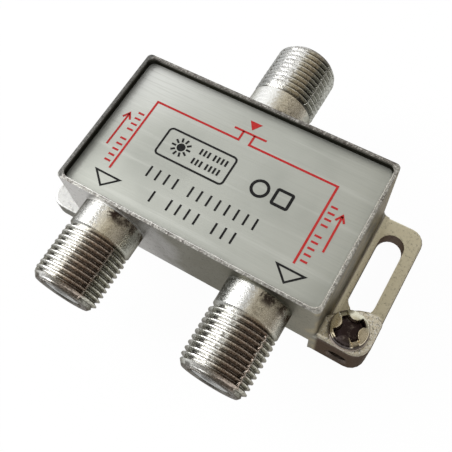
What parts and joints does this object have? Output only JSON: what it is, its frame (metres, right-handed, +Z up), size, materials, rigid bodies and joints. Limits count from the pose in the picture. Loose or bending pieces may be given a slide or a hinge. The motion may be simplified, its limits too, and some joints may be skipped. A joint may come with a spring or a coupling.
{
  "type": "coaxial splitter",
  "caption": "Coaxial splitter in a die-cast housing with threaded ports, slotted mounting ears, a printed cover plate and a ground screw.",
  "frame": {"origin": "centre of the underside, level with the bottom of the ears", "axes": "+Z up through the cover plate, +Y out of the single input port, +X towards the ear with the ground screw"},
  "size_m": [0.0528, 0.0474, 0.0166],
  "materials": {
    "plated_zinc": "satin plated casting",
    "printed_tinplate": "satin grey with black and red printed fields",
    "white_plastic": "matte",
    "spring_bronze": "tinned",
    "laminate": "matte",
    "ferrite": "matte",
    "copper_wire": "enamelled",
    "chip_ceramic": "matte",
    "resistor_body": "gloss",
    "diode_body": "matte",
    "plated_steel": "bright"
  },
  "bodies": {
    "root": {"housing": "plated_zinc", "cover_plate": "printed_tinplate", "insulator_in": "white_plastic", "insulator_out_left": "white_plastic", "insulator_out_right": "white_plastic", "contact_in": "spring_bronze", "contact_out_left": "spring_bronze", "contact_out_right": "spring_bronze", "circuit_board": "laminate", "splitter_core": "ferrite", "splitter_winding": "copper_wire", "matching_core": "ferrite", "matching_winding": "copper_wire", "power_choke_rod_in": "ferrite", "power_choke_rod_left": "ferrite", "power_choke_rod_right": "ferrite", "power_choke_coil_in": "copper_wire", "power_choke_coil_left": "copper_wire", "power_choke_coil_right": "copper_wire", "dc_block_capacitor_in": "chip_ceramic", "dc_block_capacitor_left": "chip_ceramic", "dc_block_capacitor_right": "chip_ceramic", "isolation_resistor": "resistor_body", "steering_diode_left": "diode_body", "steering_diode_right": "diode_body", "ground_screw": "plated_steel"}
  },
  "joints": []
}
